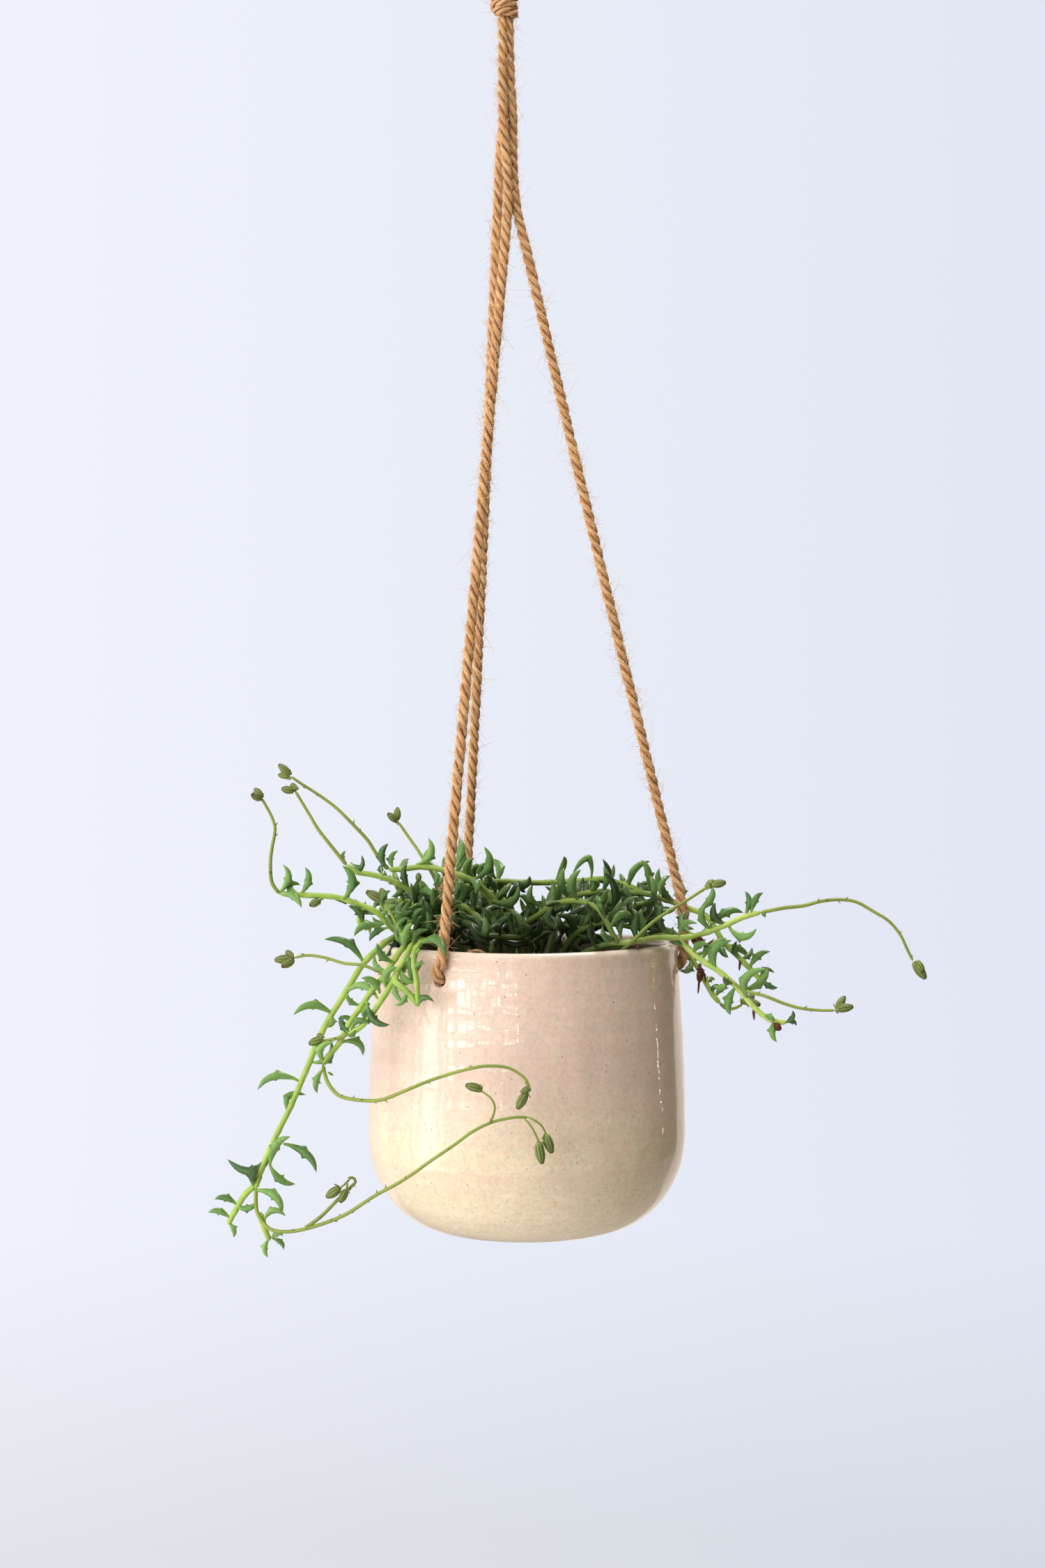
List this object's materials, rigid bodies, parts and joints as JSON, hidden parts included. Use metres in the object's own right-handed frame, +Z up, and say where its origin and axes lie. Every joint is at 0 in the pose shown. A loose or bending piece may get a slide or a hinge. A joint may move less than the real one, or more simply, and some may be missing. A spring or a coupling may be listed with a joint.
{
  "type": "hanging potted plant",
  "caption": "Trailing succulent with dolphin-shaped leaves in a glazed bowl, hung on three ropes that run from holes near its lip to a bound knot and a hanging loop.",
  "frame": {"origin": "inside of the hanging loop at its top, where a hook bears", "axes": "+Z up, -Y toward the viewer of the plant's front, +X to that viewer's right"},
  "size_m": [0.3111, 0.1718, 0.6104],
  "materials": {
    "glaze": "gloss",
    "soil": "matte",
    "jute": "matte",
    "stem": "satin",
    "leaf": "satin",
    "flower_stalk": "satin",
    "dried_flower": "matte",
    "twig": "matte"
  },
  "bodies": {
    "root": {"pot": "glaze", "potting_soil": "soil", "rope_front_left": "jute", "rope_right": "jute", "rope_back": "jute", "knot_front_left": "jute", "knot_right": "jute", "knot_back": "jute", "gathering_wrap": "jute", "hanging_loop": "jute", "crown_stems_front": "stem", "crown_stems_back": "stem", "crown_stems_low": "stem", "crown_leaves_front": "leaf", "crown_leaves_left": "leaf", "crown_leaves_right": "leaf", "crown_leaves_back": "leaf", "crown_leaves_low": "leaf", "rim_leaves": "leaf", "twig": "twig", "vine_a_stem": "stem", "vine_a_leaves": "leaf", "vine_a_flowers": "flower_stalk", "vine_b_stem": "stem", "vine_b_leaves": "leaf", "vine_b_flowers": "flower_stalk", "vine_c_stem": "stem", "vine_c_leaves": "leaf", "vine_c_flowers": "flower_stalk", "vine_f_stem": "stem", "vine_f_leaves": "leaf", "vine_f_flowers": "flower_stalk", "vine_f_side_shoots": "stem", "vine_f_shoot_leaves": "leaf", "vine_g_stem": "stem", "vine_g_leaves": "leaf", "vine_g_flowers": "flower_stalk", "vine_h_stem": "stem", "vine_h_leaves": "leaf", "vine_h_flowers": "flower_stalk", "vine_i_stem": "stem", "vine_i_leaves": "leaf", "vine_j_stem": "stem", "vine_j_leaves": "leaf", "vine_j_flowers": "flower_stalk", "vine_k_stem": "stem", "vine_k_leaves": "leaf", "vine_k_flowers": "flower_stalk", "vine_l_stem": "stem", "vine_l_leaves": "leaf", "vine_m_stem": "stem", "vine_m_leaves": "leaf", "vine_m_flowers": "flower_stalk", "flowers_d": "flower_stalk", "flowers_e": "flower_stalk", "flowers_n": "flower_stalk", "dried_flowers": "dried_flower"}
  },
  "joints": []
}
